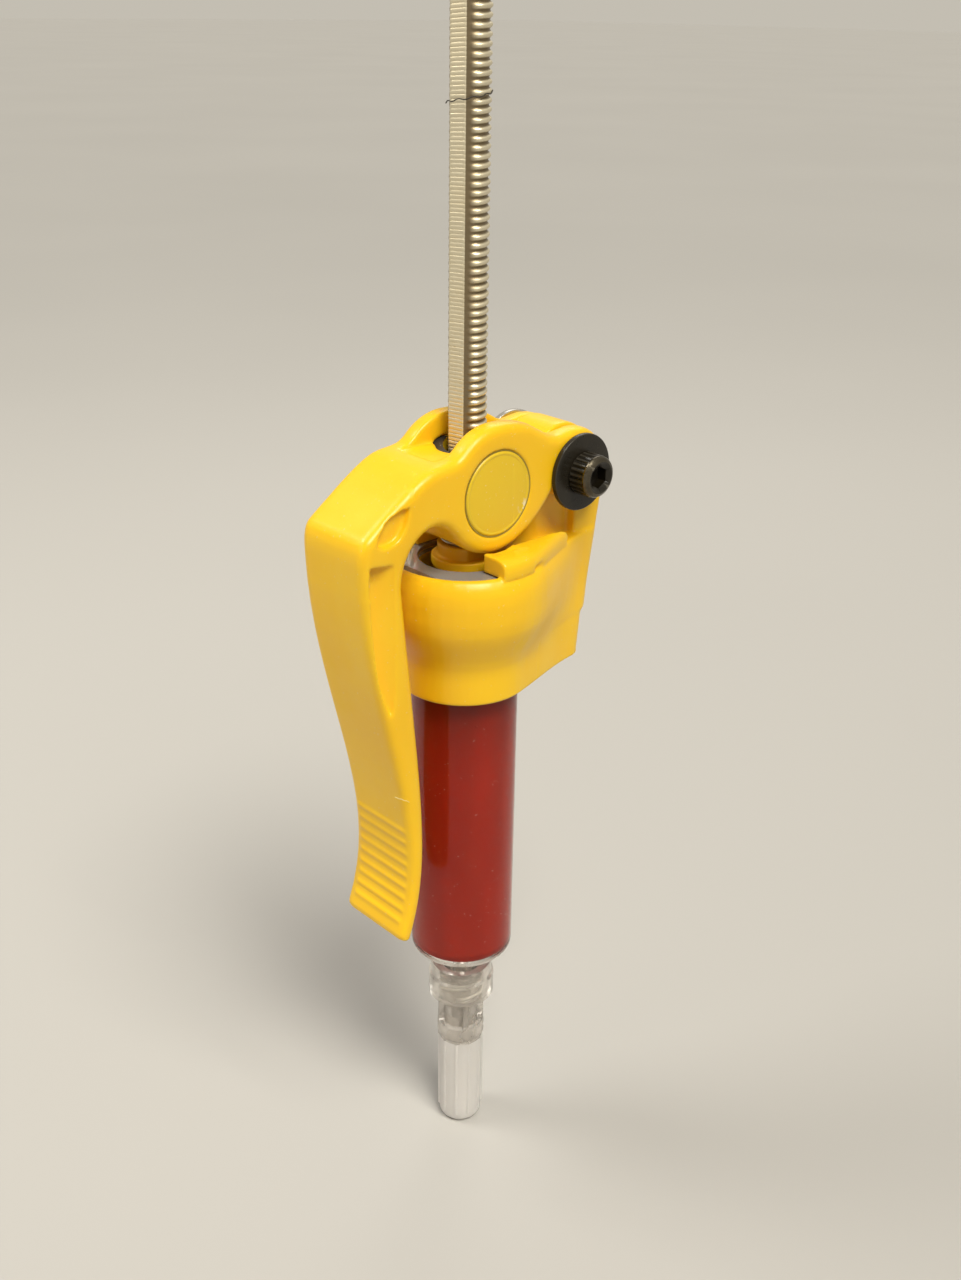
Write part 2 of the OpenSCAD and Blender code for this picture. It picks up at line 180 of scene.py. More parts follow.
def shade_by_angle(piece, degrees=SHARP, bevel=0.0):
    """Smooth shading that keeps the edges sharper than the given angle, broken by a bevel."""
    for polygon in piece.data.polygons:
        polygon.use_smooth = True
    weld = piece.modifiers.new("weld", "WELD")
    weld.merge_threshold = WELD_GAP
    if bevel:
        broken = piece.modifiers.new("bevel", "BEVEL")
        broken.width = bevel * MM
        broken.segments = 3
        broken.limit_method = "ANGLE"
        broken.angle_limit = math.radians(degrees)
    split_edges(piece, degrees)


def dress(node, material, bevel=0.0):
    """Keeps a solid as it is and gives it its material, with its sharp edges broken."""
    piece = nodes[node]
    if "custom_normal" in piece.data.attributes:
        piece.data.attributes.remove(piece.data.attributes["custom_normal"])
    piece.data.materials.clear()
    piece.data.materials.append(material)
    for polygon in piece.data.polygons:
        polygon.material_index = 0
    shade_by_angle(piece, SHARP, bevel)


def moulded_copy(node, name, body, material, softness):
    """A solid's form with the soft edges of a moulding: remeshed finely, then relaxed.

    softness gives the share of the relaxing at a point in millimetres, as fine ribs take less.
    """
    piece = new_piece(name, welded_mesh(node, name), body, material)
    remesh = piece.modifiers.new("remesh", "REMESH")
    remesh.mode = "VOXEL"
    remesh.voxel_size = VOXEL * MM
    apply_modifiers(piece)
    soft = piece.vertex_groups.new(name="soft")
    for vert in piece.data.vertices:
        soft.add([vert.index], softness(vert.co / MM), "REPLACE")
    for iterations, group in ((FIRST_PASSES, ""), (RELAX_PASSES, "soft")):
        relax = piece.modifiers.new("relax", "SMOOTH")
        relax.factor = 0.5
        relax.iterations = iterations
        relax.vertex_group = group
    apply_modifiers(piece)
    piece.data.materials.clear()
    piece.data.materials.append(material)
    for polygon in piece.data.polygons:
        polygon.use_smooth = True
        polygon.material_index = 0
    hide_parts(node)


def lever_softness(p):
    """Little relaxing on the grip ribs of the handle's outer face."""
    return RIBS_SHARE if p.z < RIBS_BELOW and abs(p.y) < RIBS_HALF_WIDTH else 1.0


def head_softness(p):
    """No relaxing on the cup's thin rim and at the skirt's lower edge."""
    on_rim = p.z > RIM_ABOVE and math.hypot(p.x, p.y) < RIM_REACH and p.x < RIM_END_X
    return 0.0 if on_rim or p.z < SKIRT_BELOW else 1.0


def tube_along(points, radius, sides=10):
    """Points and faces of a round wire that follows a path, closed at both ends."""
    rings = []
    for i, p in enumerate(points):
        ahead = Vector(points[min(i + 1, len(points) - 1)]) - Vector(points[max(i - 1, 0)])
        ahead.normalize()
        across = ahead.cross(Vector((0, 0, 1)))
        if across.length < 1e-4:
            across = ahead.cross(Vector((1, 0, 0)))
        across.normalize()
        up = across.cross(ahead)
        rings.append([Vector(p) + radius * (math.cos(a) * across + math.sin(a) * up)
                      for a in (2 * math.pi * k / sides for k in range(sides))])
    verts = [v for ring in rings for v in ring]
    faces = [(i * sides + k, i * sides + (k + 1) % sides,
              (i + 1) * sides + (k + 1) % sides, (i + 1) * sides + k)
             for i in range(len(rings) - 1) for k in range(sides)]
    faces += [tuple(reversed(range(sides))),
              tuple((len(rings) - 1) * sides + k for k in range(sides))]
    return verts, faces


def coil_path(radius, start, end, turns, steps=40):
    """A coil spring's centre line along Z, with its end turns lying almost closed."""
    closed, slow = 0.9, 0.35
    whole = 2 * closed * slow + (turns - 2 * closed)
    path = []
    for i in range(int(turns * steps) + 1):
        t = i / steps
        rise = min(t, closed) * slow + max(0, min(t, turns - closed) - closed) \
            + max(0, t - (turns - closed)) * slow
        a = 2 * math.pi * t
        path.append((radius * math.cos(a), radius * math.sin(a),
                     start + (end - start) * rise / whole))
    return path


# ---------------------------------------------------------------- shader helpers

def feed(tree, socket, value):
    """Gives an input its value, or links it where the value is a socket."""
    if isinstance(value, bpy.types.NodeSocket):
        tree.links.new(value, socket)
    else:
        socket.default_value = value


def put(tree, kind, inputs=None, **settings):
    """Adds a node. An input given as a socket is linked, any other is its value."""
    node = tree.nodes.new("ShaderNode" + kind)
    for key, value in settings.items():
        setattr(node, key, value)
    for key, value in (inputs or {}).items():
        feed(tree, node.inputs[key], value)
    return node


def math_node(tree, operation, a, b, clamp=False):
    """The result of one operation on two numbers."""
    return put(tree, "Math", {0: a, 1: b}, operation=operation, use_clamp=clamp).outputs[0]


def times(tree, a, b):
    """The product of two numbers."""
    return math_node(tree, "MULTIPLY", a, b)


def place_on_piece(tree):
    """A point's place in the piece's own frame, in metres."""
    return put(tree, "TexCoord").outputs["Object"]


def mixed(tree, share, a, b):
    """Colour a, going over to colour b as share goes from 0 to 1."""
    node = put(tree, "Mix", data_type="RGBA")
    for index, value in ((0, share), (6, a), (7, b)):
        feed(tree, node.inputs[index], value)
    return node.outputs[2]


def ramp(tree, value, low, high):
    """0 below low and 1 above high, straight in between."""
    node = put(tree, "MapRange", {"Value": value, "From Min": low, "From Max": high}, clamp=True)
    return node.outputs["Result"]


def noise(tree, scale, detail=3.0, stretch=(1, 1, 1)):
    """Noise fixed to the piece. Scale is in features per metre."""
    spread = put(tree, "Mapping", {"Vector": place_on_piece(tree), "Scale": stretch})
    return put(tree, "TexNoise", {"Vector": spread.outputs["Vector"], "Scale": scale,
                                  "Detail": detail}).outputs["Fac"]


def make_group(name, inputs, outputs, build):
    """A shader group with named sockets. build gets the tree and the input sockets."""
    tree = bpy.data.node_groups.new(name, "ShaderNodeTree")
    for label, kind, default in inputs:
        tree.interface.new_socket(label, in_out="INPUT", socket_type=kind).default_value = default
    for label, kind in outputs:
        tree.interface.new_socket(label, in_out="OUTPUT", socket_type=kind)
    start = tree.nodes.new("NodeGroupInput")
    end = tree.nodes.new("NodeGroupOutput")
    for label, socket in build(tree, start.outputs).items():
        tree.links.new(socket, end.inputs[label])
    return tree


COLOR, FLOAT = "NodeSocketColor", "NodeSocketFloat"
SURFACE = (("Base Color", COLOR), ("Roughness", FLOAT), ("Normal", "NodeSocketVector"))


def moulded_effect(tree, given):
    """Moulded resin: cloudy colour, flow streaks, hairline scratches, dust and a fine grain."""
    cloud = ramp(tree, noise(tree, 48, 4), 0.35, 0.7)
    tone = mixed(tree, times(tree, cloud, 0.4), given["Color"], given["Deep"])
    flow = ramp(tree, noise(tree, 70, 5, (1, 1, 0.3)), 0.5, 0.72)
    tone = mixed(tree, times(tree, flow, given["Wear"]), tone, given["Worn"])
    lines = ramp(tree, noise(tree, 260, 2, (1, 1, 0.045)), 0.655, 0.67)
    slanted = ramp(tree, noise(tree, 300, 2, (0.05, 0.2, 1)), 0.67, 0.685)
    lines = math_node(tree, "MAXIMUM", lines, slanted)
    patch = ramp(tree, noise(tree, 90, 2), 0.5, 0.62)
    scratch = times(tree, lines, patch)
    tone = mixed(tree, times(tree, scratch, 0.22), tone, given["Worn"])
    dust = times(tree, ramp(tree, noise(tree, 2400, 1), 0.745, 0.77), 0.3)
    tone = mixed(tree, dust, tone, (0.9, 0.85, 0.7, 1))
    smudge = ramp(tree, noise(tree, 130, 5), 0.42, 0.68)
    rough = math_node(tree, "ADD", given["Roughness"], times(tree, smudge, 0.13))
    rough = math_node(tree, "ADD", rough, times(tree, scratch, 0.2))
    grain = math_node(tree, "ADD", noise(tree, 2600, 2), times(tree, noise(tree, 320, 2), 2.2))
    height = math_node(tree, "SUBTRACT", grain, times(tree, scratch, 1.5))
    bump = put(tree, "Bump", {"Height": height, "Strength": given["Grain"], "Distance": 0.00006})
    return {"Base Color": tone, "Roughness": rough, "Normal": bump.outputs["Normal"]}


def metal_effect(tree, given):
    """Metal: tarnish in clouds and spots, edges rubbed bright, and fine tool marks."""
    cloud = ramp(tree, noise(tree, 170, 5), 0.4, 0.68)
    tone = mixed(tree, times(tree, cloud, given["Tarnish"]), given["Color"], given["Stain"])
    spots = ramp(tree, noise(tree, 1500, 3), 0.66, 0.74)
    tone = mixed(tree, times(tree, spots, given["Tarnish"]), tone, given["Stain"])
    edge = ramp(tree, put(tree, "NewGeometry").outputs["Pointiness"], 0.52, 0.6)
    tone = mixed(tree, times(tree, edge, given["Wear"]), tone, given["Worn"])
    marks = noise(tree, 1200, 2, (1, 0.06, 1))
    rough = math_node(tree, "ADD", given["Roughness"], times(tree, cloud, 0.18))
    rough = math_node(tree, "ADD", rough, times(tree, marks, 0.1))
    height = math_node(tree, "ADD", marks, times(tree, noise(tree, 4200, 2), 0.6))
    bump = put(tree, "Bump", {"Height": height, "Strength": given["Marks"], "Distance": 0.00004})
    return {"Base Color": tone, "Roughness": rough, "Normal": bump.outputs["Normal"]}


def clear_effect(tree, given):
    """Clear or frosted resin: a faint drawn grain along the axis, haze and finger marks."""
    drawn = noise(tree, 420, 2, (1, 1, 0.05))
    haze = ramp(tree, noise(tree, 150, 4), 0.42, 0.7)
    tone = mixed(tree, times(tree, haze, 0.35), given["Color"], given["Haze"])
    rough = math_node(tree, "ADD", given["Roughness"], times(tree, haze, given["Smudge"]))
    height = math_node(tree, "ADD", drawn, times(tree, noise(tree, 1800, 2), 0.3))
    bump = put(tree, "Bump", {"Height": height, "Strength": given["Ripple"], "Distance": 0.00005})
    return {"Base Color": tone, "Roughness": rough, "Normal": bump.outputs["Normal"]}


def level_effect(tree, given):
    """0 below a height of the piece and 1 above it, with a soft change between them."""
    z = put(tree, "SeparateXYZ", {"Vector": place_on_piece(tree)}).outputs["Z"]
    node = put(tree, "MapRange", {"Value": z, "From Min": given["Low"], "From Max": given["High"]},
               clamp=True, interpolation_type="SMOOTHSTEP")
    return {"Share": node.outputs["Result"]}


GREY = (0.5, 0.5, 0.5, 1)
MOULDED = make_group("moulded_resin", [("Color", COLOR, GREY), ("Deep", COLOR, GREY),
                     ("Worn", COLOR, GREY), ("Wear", FLOAT, 0.5), ("Roughness", FLOAT, 0.3),
                     ("Grain", FLOAT, 0.2)], SURFACE, moulded_effect)
METAL = make_group("tarnished_metal", [("Color", COLOR, GREY), ("Stain", COLOR, GREY),
                   ("Worn", COLOR, GREY), ("Tarnish", FLOAT, 0.5), ("Wear", FLOAT, 0.5),
                   ("Roughness", FLOAT, 0.3), ("Marks", FLOAT, 0.3)], SURFACE, metal_effect)
CLEAR = make_group("clear_resin", [("Color", COLOR, GREY), ("Haze", COLOR, GREY),
                   ("Roughness", FLOAT, 0.1), ("Smudge", FLOAT, 0.1), ("Ripple", FLOAT, 0.1)],
                   SURFACE, clear_effect)
LEVEL = make_group("level", [("Low", FLOAT, 0.0), ("High", FLOAT, 1.0)], [("Share", FLOAT)],
                   level_effect)


def effect(tree, group, values):
    """A group's node with its inputs set."""
    node = tree.nodes.new("ShaderNodeGroup")
    node.node_tree = group
    for key, value in values.items():
        feed(tree, node.inputs[key], value)
    return node.outputs


def new_material(name, group, values, shader):
    """A material whose surface comes from a group. shader holds the plain values of the shader."""
    material = bpy.data.materials.new(name)
    material.use_nodes = True
    tree = material.node_tree
    surface = tree.nodes["Principled BSDF"]
    out = effect(tree, group, values)
    for key in ("Base Color", "Roughness", "Normal"):
        tree.links.new(out[key], surface.inputs[key])
    for key, value in shader.items():
        surface.inputs[key].default_value = value
    return material


def overlay(material, share, colour):
    """Lays a colour over a material's own, by a share from 0 to 1."""
    tree = material.node_tree
    base = tree.nodes["Principled BSDF"].inputs["Base Color"]
    tree.links.new(mixed(tree, share, base.links[0].from_socket, colour), base)


# ---------------------------------------------------------------- materials

def yellow_resin():
    """The two large mouldings and the pusher's foot."""
    return new_material("yellow_resin", MOULDED, {
        "Color": (0.93, 0.56, 0.010, 1), "Deep": (0.86, 0.46, 0.004, 1),
        "Worn": (0.96, 0.66, 0.05, 1), "Wear": 0.3, "Roughness": 0.29, "Grain": 0.2},
        {"Subsurface Weight": 0.12, "Subsurface Radius": (0.0016, 0.0008, 0.0002),
         "Subsurface Scale": 1.0, "Specular IOR Level": 0.4, "IOR": 1.5})


def lemon_resin():
    """Slightly paler and duller, with a whitish smear at the lower right of the round end."""
    smear_at, smear_reach = (0.0057, -0.00775, 0.0587), 0.0016
    material = new_material("lemon_resin", MOULDED, {
        "Color": (0.80, 0.54, 0.016, 1), "Deep": (0.70, 0.45, 0.010, 1),
        "Worn": (0.88, 0.64, 0.06, 1), "Wear": 0.4, "Roughness": 0.34, "Grain": 0.25},
        {"Subsurface Weight": 0.1, "Subsurface Radius": (0.0014, 0.0008, 0.0003),
         "Subsurface Scale": 1.0, "IOR": 1.5})
    tree = material.node_tree
    away = put(tree, "VectorMath", {0: place_on_piece(tree), 1: smear_at}, operation="DISTANCE")
    near = ramp(tree, away.outputs["Value"], smear_reach, smear_reach * 0.2)
    torn = ramp(tree, noise(tree, 1300, 4), 0.5, 0.56)
    overlay(material, times(tree, times(tree, near, torn), 0.75), (0.86, 0.80, 0.62, 1))
    return material


def rod_steel():
    """Cut thread: bright crests and flat, and roots darkened brown as painted shade."""
    material = new_material("rod_steel", METAL, {
        "Color": (0.72, 0.65, 0.48, 1), "Stain": (0.52, 0.45, 0.30, 1),
        "Worn": (0.9, 0.86, 0.74, 1), "Tarnish": 0.3, "Wear": 0.3, "Roughness": 0.34,
        "Marks": 0.35}, {"Metallic": 0.8})
    tree = material.node_tree
    where = place_on_piece(tree)
    flat = put(tree, "VectorMath", {0: where, 1: (1, 1, 0)}, operation="MULTIPLY")
    radius = put(tree, "VectorMath", {0: flat.outputs["Vector"]}, operation="LENGTH")
    root_shade = ramp(tree, radius.outputs["Value"], (ROD_RADIUS - 0.12) * MM, (ROD_RADIUS - 0.36) * MM)
    x = put(tree, "SeparateXYZ", {"Vector": where}).outputs["X"]
    floor = ROD_FLAT - TOOL_LINE
    off_flat = ramp(tree, x, -(floor - 0.01) * MM, -(floor - 0.05) * MM)
    # painted shade: the thread's roots off the flat are darkened brown
    overlay(material, times(tree, times(tree, root_shade, off_flat), 0.85), (0.13, 0.085, 0.035, 1))
    return material


def bright_steel():
    """Pawls, nut, its washer and the foot's screw."""
    return new_material("bright_steel", METAL, {
        "Color": (0.66, 0.64, 0.60, 1), "Stain": (0.42, 0.39, 0.34, 1),
        "Worn": (0.9, 0.88, 0.84, 1), "Tarnish": 0.35, "Wear": 0.5, "Roughness": 0.18,
        "Marks": 0.25}, {"Metallic": 1.0})


def spring_steel():
    """Both coils and the leaf."""
    return new_material("spring_steel", METAL, {
        "Color": (0.52, 0.50, 0.47, 1), "Stain": (0.25, 0.22, 0.18, 1),
        "Worn": (0.8, 0.78, 0.74, 1), "Tarnish": 0.4, "Wear": 0.4, "Roughness": 0.24,
        "Marks": 0.3}, {"Metallic": 1.0})


def black_steel():
    """Blackened steel whose edges have rubbed to a warm brown."""
    return new_material("black_steel", METAL, {
        "Color": (0.006, 0.0045, 0.002, 1), "Stain": (0.018, 0.012, 0.005, 1),
        "Worn": (0.20, 0.18, 0.14, 1), "Tarnish": 0.5, "Wear": 0.5, "Roughness": 0.2,
        "Marks": 0.2}, {"Metallic": 0.0, "Specular IOR Level": 0.3})


def rubbed_steel():
    """The same steel where its black has rubbed thin, on the screw's chamfer."""
    return new_material("rubbed_steel", METAL, {
        "Color": (0.10, 0.085, 0.06, 1), "Stain": (0.03, 0.022, 0.013, 1),
        "Worn": (0.4, 0.37, 0.3, 1), "Tarnish": 0.8, "Wear": 0.5, "Roughness": 0.2,
        "Marks": 0.2}, {"Metallic": 1.0})


def brass():
    """The sleeve on the pivot."""
    return new_material("brass", METAL, {
        "Color": (0.72, 0.50, 0.20, 1), "Stain": (0.38, 0.24, 0.09, 1),
        "Worn": (0.9, 0.7, 0.35, 1), "Tarnish": 0.5, "Wear": 0.4, "Roughness": 0.25,
        "Marks": 0.3}, {"Metallic": 1.0})


def needle_steel():
    """The needle's tube."""
    return new_material("needle_steel", METAL, {
        "Color": (0.45, 0.44, 0.42, 1), "Stain": (0.25, 0.24, 0.22, 1),
        "Worn": (0.8, 0.79, 0.77, 1), "Tarnish": 0.3, "Wear": 0.3, "Roughness": 0.22,
        "Marks": 0.2}, {"Metallic": 1.0})


def pale_rubber():
    """The piston."""
    return new_material("pale_rubber", MOULDED, {
        "Color": (0.80, 0.77, 0.70, 1), "Deep": (0.68, 0.64, 0.56, 1),
        "Worn": (0.9, 0.88, 0.83, 1), "Wear": 0.4, "Roughness": 0.5, "Grain": 0.35},
        {"IOR": 1.45})


def clear_resin():
    """The barrel's wall, a little clouded."""
    return new_material("clear_resin", CLEAR, {
        "Color": (0.97, 0.95, 0.92, 1), "Haze": (0.92, 0.89, 0.84, 1), "Roughness": 0.05,
        "Smudge": 0.08, "Ripple": 0.15},
        {"Transmission Weight": 1.0, "IOR": 1.33, "Specular IOR Level": 0.3})


def cloudy_resin():
    """Thicker resin with a milky haze: the barrel's shoulder, the hub and the cap's mouth."""
    return new_material("cloudy_resin", CLEAR, {
        "Color": (0.86, 0.82, 0.77, 1), "Haze": (0.74, 0.70, 0.65, 1), "Roughness": 0.2,
        "Smudge": 0.12, "Ripple": 0.3}, {"Transmission Weight": 0.78, "IOR": 1.4})


def hazy_resin():
    """The lock collar: clear enough to show its thread."""
    return new_material("hazy_resin", CLEAR, {
        "Color": (0.92, 0.89, 0.84, 1), "Haze": (0.82, 0.78, 0.72, 1), "Roughness": 0.1,
        "Smudge": 0.1, "Ripple": 0.3},
        {"Transmission Weight": 0.88, "IOR": 1.36, "Specular IOR Level": 0.4})


def milky_resin():
    """Whitish resin of the barrel's flange, seen inside the head; its haze is tinted warm as a
    painted reflection of the yellow cup round it.
    """
    return new_material("milky_resin", CLEAR, {
        "Color": (0.94, 0.90, 0.85, 1), "Haze": (0.86, 0.74, 0.62, 1), "Roughness": 0.1,
        "Smudge": 0.1, "Ripple": 0.2},
        {"Transmission Weight": 0.72, "IOR": 1.45, "Subsurface Weight": 0.3,
         "Subsurface Radius": (0.002, 0.0016, 0.0013), "Subsurface Scale": 1.0})


def frosted_resin():
    """The needle's cap: milky, so that the needle shows only as a shadow."""
    return new_material("frosted_resin", CLEAR, {
        "Color": (0.93, 0.90, 0.87, 1), "Haze": (0.86, 0.83, 0.79, 1), "Roughness": 0.38,
        "Smudge": 0.15, "Ripple": 0.35},
        {"Transmission Weight": 0.45, "IOR": 1.42, "Subsurface Weight": 0.3,
         "Subsurface Radius": (0.002, 0.0019, 0.0018), "Subsurface Scale": 1.0})


def flux_gel():
    """Deep red gel, darkened brown towards the top as painted shade under the head, with fine
    streaks where it was filled.
    """
    material = new_material("flux_gel", MOULDED, {
        "Color": (0.44, 0.024, 0.009, 1), "Deep": (0.36, 0.018, 0.006, 1),
        "Worn": (0.52, 0.06, 0.03, 1), "Wear": 0.25, "Roughness": 0.4, "Grain": 0.12},
        {"Subsurface Weight": 0.3, "Subsurface Radius": (0.003, 0.0006, 0.0004),
         "Subsurface Scale": 1.0, "Specular IOR Level": 0.05, "IOR": 1.4})
    tree = material.node_tree
    # painted shade: the flux is darkened towards the top, where the head shades it; the streaks
    # are the gel's own tone
    high = effect(tree, LEVEL, {"Low": 0.008, "High": 0.034})["Share"]
    streak = times(tree, ramp(tree, noise(tree, 240, 3, (1, 1, 0.12)), 0.35, 0.75), 0.35)
    share = times(tree, math_node(tree, "ADD", high, streak, clamp=True), 0.75)
    overlay(material, share, (0.20, 0.016, 0.005, 1))
    return material


def bubble_air():
    """Small bubbles at the flux's wall."""
    return new_material("bubble_air", CLEAR, {
        "Color": (0.62, 0.16, 0.10, 1), "Haze": (0.5, 0.12, 0.08, 1), "Roughness": 0.1,
        "Smudge": 0.1, "Ripple": 0.1}, {"Transmission Weight": 0.3, "IOR": 1.2})


def painted_gap_shade():
    """Olive-brown, put in gaps as painted shade."""
    return new_material("painted_gap_shade", MOULDED, {
        "Color": (0.36, 0.26, 0.03, 1), "Deep": (0.18, 0.12, 0.02, 1),
        "Worn": (0.45, 0.34, 0.06, 1), "Wear": 0.5, "Roughness": 0.6, "Grain": 0.3}, {})


def scuffed_resin():
    """Resin torn pale along a scratch."""
    return new_material("scuffed_resin", MOULDED, {
        "Color": (0.95, 0.86, 0.45, 1), "Deep": (0.9, 0.75, 0.25, 1),
        "Worn": (1.0, 0.95, 0.7, 1), "Wear": 0.5, "Roughness": 0.4, "Grain": 0.3}, {})


def whitish_resin():
    """Thread ridges of the collar, whitish: partly the resin's own haze, partly a painted
    highlight where they catch the light.
    """
    return new_material("whitish_resin", CLEAR, {
        "Color": (0.93, 0.90, 0.86, 1), "Haze": (0.86, 0.82, 0.77, 1), "Roughness": 0.14,
        "Smudge": 0.1, "Ripple": 0.3}, {"Transmission Weight": 0.1, "IOR": 1.45})


def black_for_fibre_and_shade():
    """Nearly black: the fibre on the rod, and painted shade round the slot's mouth."""
    return new_material("black_for_fibre_and_shade", MOULDED, {
        "Color": (0.03, 0.024, 0.018, 1), "Deep": (0.02, 0.015, 0.01, 1),
        "Worn": (0.06, 0.05, 0.04, 1), "Wear": 0.3, "Roughness": 0.6, "Grain": 0.3}, {})


# ---------------------------------------------------------------- pieces

def threaded_rod(material):
    """Rod with rounded helical ribs that run out beside the flat, and fine lines across it."""
    low, high = (c.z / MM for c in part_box("threaded_rod"))
    around = 72
    core, end_radius = ROD_RADIUS - THREAD_DEPTH, ROD_RADIUS - ROD_CHAMFER
    # for one pitch: height in pitches, share of the rib's depth, share of a tool line's depth
    profile = [(-0.5, 0.0, 1), (-0.38, 0.14, 0), (-0.27, 0.55, 0), (-0.17, 0.86, 0),
               (-0.07, 0.99, 0), (0.0, 1.0, 1), (0.07, 0.99, 0), (0.17, 0.86, 0),
               (0.27, 0.55, 0), (0.38, 0.14, 0)]
    turns = int((high - low) / THREAD_PITCH) + 2
    points = []
    for i in range(turns * around + 1):
        a = 2 * math.pi * i / around
        off_flat = abs(180 - math.degrees(a) % 360)
        for rise, share, line in profile:
            z = low + THREAD_PITCH * (i / around - 0.5 + rise)
            if z > FLAT_START:
                share *= min(1, max(0, (off_flat - RIB_END) / RIB_RISE))
            r = min(core + THREAD_DEPTH * share, end_radius + (high - z), end_radius + (z - low))
            z = min(max(z, low), high)
            r = max(r, core - 0.02)
            x = r * math.cos(a)
            if z > FLAT_START:
                x = max(x, -ROD_FLAT + TOOL_LINE * line)
            points.append((x, r * math.sin(a), z))
    p = len(profile)
    faces = []
    for i in range(turns * around):
        for k in range(p - 1):
            faces.append((i * p + k, (i + 1) * p + k, (i + 1) * p + k + 1, i * p + k + 1))
        j = i + around
        if j < turns * around:
            faces.append((i * p + p - 1, (i + 1) * p + p - 1, (j + 1) * p, j * p))
    for z in (low, high):
        base = len(points)
        points.append((0, 0, z))
        for k in range(around):
            a = 2 * math.pi * k / around
            x, y = end_radius * math.cos(a), end_radius * math.sin(a)
            points.append((max(x, -ROD_FLAT) if z > FLAT_START else x, y, z))
        faces += [(base, base + 1 + k, base + 1 + (k + 1) % around) for k in range(around)]
    piece = new_piece("rod_thread", mesh_from("rod_thread", points, faces), "rod",
                      material)
    split_edges(piece, 50)
    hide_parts("threaded_rod")


def turned(name, profile, material):
    """A part turned about the pivot's axis. profile lists (radius, y, form) from one end of the
    axis to the other, where form is round, knurl or hex."""
    points, faces, sides = [], [], 96
    for reach, y, form in profile:
        for k in range(sides):
            a = 2 * math.pi * k / sides + math.pi
            r = reach
            if form == "knurl":
                r -= KNURL_DEPTH * (k % 4 < 2)
            if form == "hex":
                r = reach * math.cos(math.pi / 6) / math.cos(a % (math.pi / 3) - math.pi / 6)
            points.append((PIVOT_X + r * math.sin(a), y, PIVOT_Z + r * math.cos(a)))
    for i in range(len(profile) - 1):
        for k in range(sides):
            n = (k + 1) % sides
            faces.append((i * sides + k, i * sides + n, (i + 1) * sides + n, (i + 1) * sides + k))
    mesh = mesh_from(name, points, faces)
    bm = bmesh.new()
    bm.from_mesh(mesh)
    bmesh.ops.remove_doubles(bm, verts=bm.verts, dist=FINE_GAP)
    bmesh.ops.recalc_face_normals(bm, faces=bm.faces)
    bm.to_mesh(mesh)
    bm.free()
    piece = new_piece(name, mesh, "head", material)
    shade_by_angle(piece, 15)
    return piece


def screw(material, rubbed):
    """Socket screw: cut thread at its end, knurled head, wide chamfer and a sunk socket."""
    profile = [(0, 12.9, "round"), (1.55, 12.9, "round"), (1.75, 12.7, "round")]
    profile += [(2.0 if i % 2 else 1.72, 12.5 - 0.35 * i, "round") for i in range(7)]
    profile += [(2.0, 9.8, "round"), (2.0, -8.86, "round"), (3.3, -8.86, "round"),
                (3.5, -9.0, "round"), (3.6, -9.15, "knurl"), (3.6, -11.7, "knurl"),
                (3.52, -11.85, "round"), (3.5, -12.1, "round"), (3.3, -12.45, "round"),
                (2.95, -12.72, "round"),
                (2.7, -12.84, "round"), (2.55, -12.84, "round"), (2.3, -12.7, "round"),
                (1.95, -12.3, "hex"), (1.9, -10.6, "hex"), (0, -10.2, "round")]
    piece = turned("socket_screw", profile, material)
    piece.data.materials.append(rubbed)
    for polygon in piece.data.polygons:
        x, y, z = polygon.center / MM
        reach = math.hypot(x - PIVOT_X, z - PIVOT_Z)
        polygon.material_index = 1 if -12.8 < y < -11.9 and 2.75 < reach < 3.6 else 0
    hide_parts("pivot_screw")


def end_rings(name, profile, body, material):
    """Closed rings at both ends of the cross barrel. profile lists (radius, height over the
    cheek's face) round the ring's section."""
    points, faces, sides, p = [], [], 96, len(profile)
    for end in (-1, 1):
        base = len(points)
        for k in range(sides):
            a = 2 * math.pi * k / sides
            for r, over in profile:
                wave = 0.015 * math.sin(5 * a) * (over < 0)
                points.append((r * math.sin(a), end * (CHEEK_Y + over + wave),
                               HUB_Z + r * math.cos(a)))
        for k in range(sides):
            a, b = base + k * p, base + (k + 1) % sides * p
            faces += [(a + i, a + (i + 1) % p, b + (i + 1) % p, b + i)[::end] for i in range(p)]
    piece = new_piece(name, mesh_from(name, points, faces), body, material)
    shade_by_angle(piece, 40)


def barrel_ends(lemon, seam_shade):
    """Raised round rims of the cross barrel's ends, and an olive ring in the gap round them as
    painted shade.
    """
    rim = [(6.15, -0.04), (6.3, 0.03), (6.48, 0.075), (6.64, 0.06), (6.78, -0.02), (6.86, -0.14),
           (6.6, -0.3), (6.2, -0.2)]
    seam = [(6.89, -0.13), (7.1, -0.07), (7.1, -0.2), (6.89, -0.2)]
    end_rings("barrel_rims", rim, "cross_barrel", lemon)
    end_rings("hub_seams", seam, "lever", seam_shade)


def slot_mouth_shade(material):
    """A near-black patch on the cross barrel round the mouth of its slot, on the handle's side:
    painted shade where the slot's mouth lies in shadow.
    """
    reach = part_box("drive_barrel")[1].x / MM + 0.012
    hole, rows, cols = 3.7, 20, 37
    points, kept = [], []
    for i in range(rows):
        for j in range(cols):
            x, y = -reach * math.sin(math.radians(4 + 2.9 * i)), -5.4 + 0.3 * j
            away = math.hypot(x, y)
            kept.append(away >= hole)
            if away < hole:
                x, y = x * hole / away, y * hole / away
            points.append((x, y, HUB_Z + math.sqrt(reach * reach - x * x)))
    faces = []
    for i in range(rows - 1):
        for j in range(cols - 1):
            a, b = i * cols + j, (i + 1) * cols + j
            corners = (a, a + 1, b + 1, b)
            if any(kept[c] for c in corners):
                faces.append(corners)
    new_piece("slot_mouth_shade", mesh_from("slot_mouth_shade", points, faces), "cross_barrel",
              material)


def thread_of(name, points, radius, body, material):
    """A thin round strand along a path."""
    verts, faces = tube_along(points, radius, 8)
    new_piece(name, mesh_from(name, verts, faces), body, material)


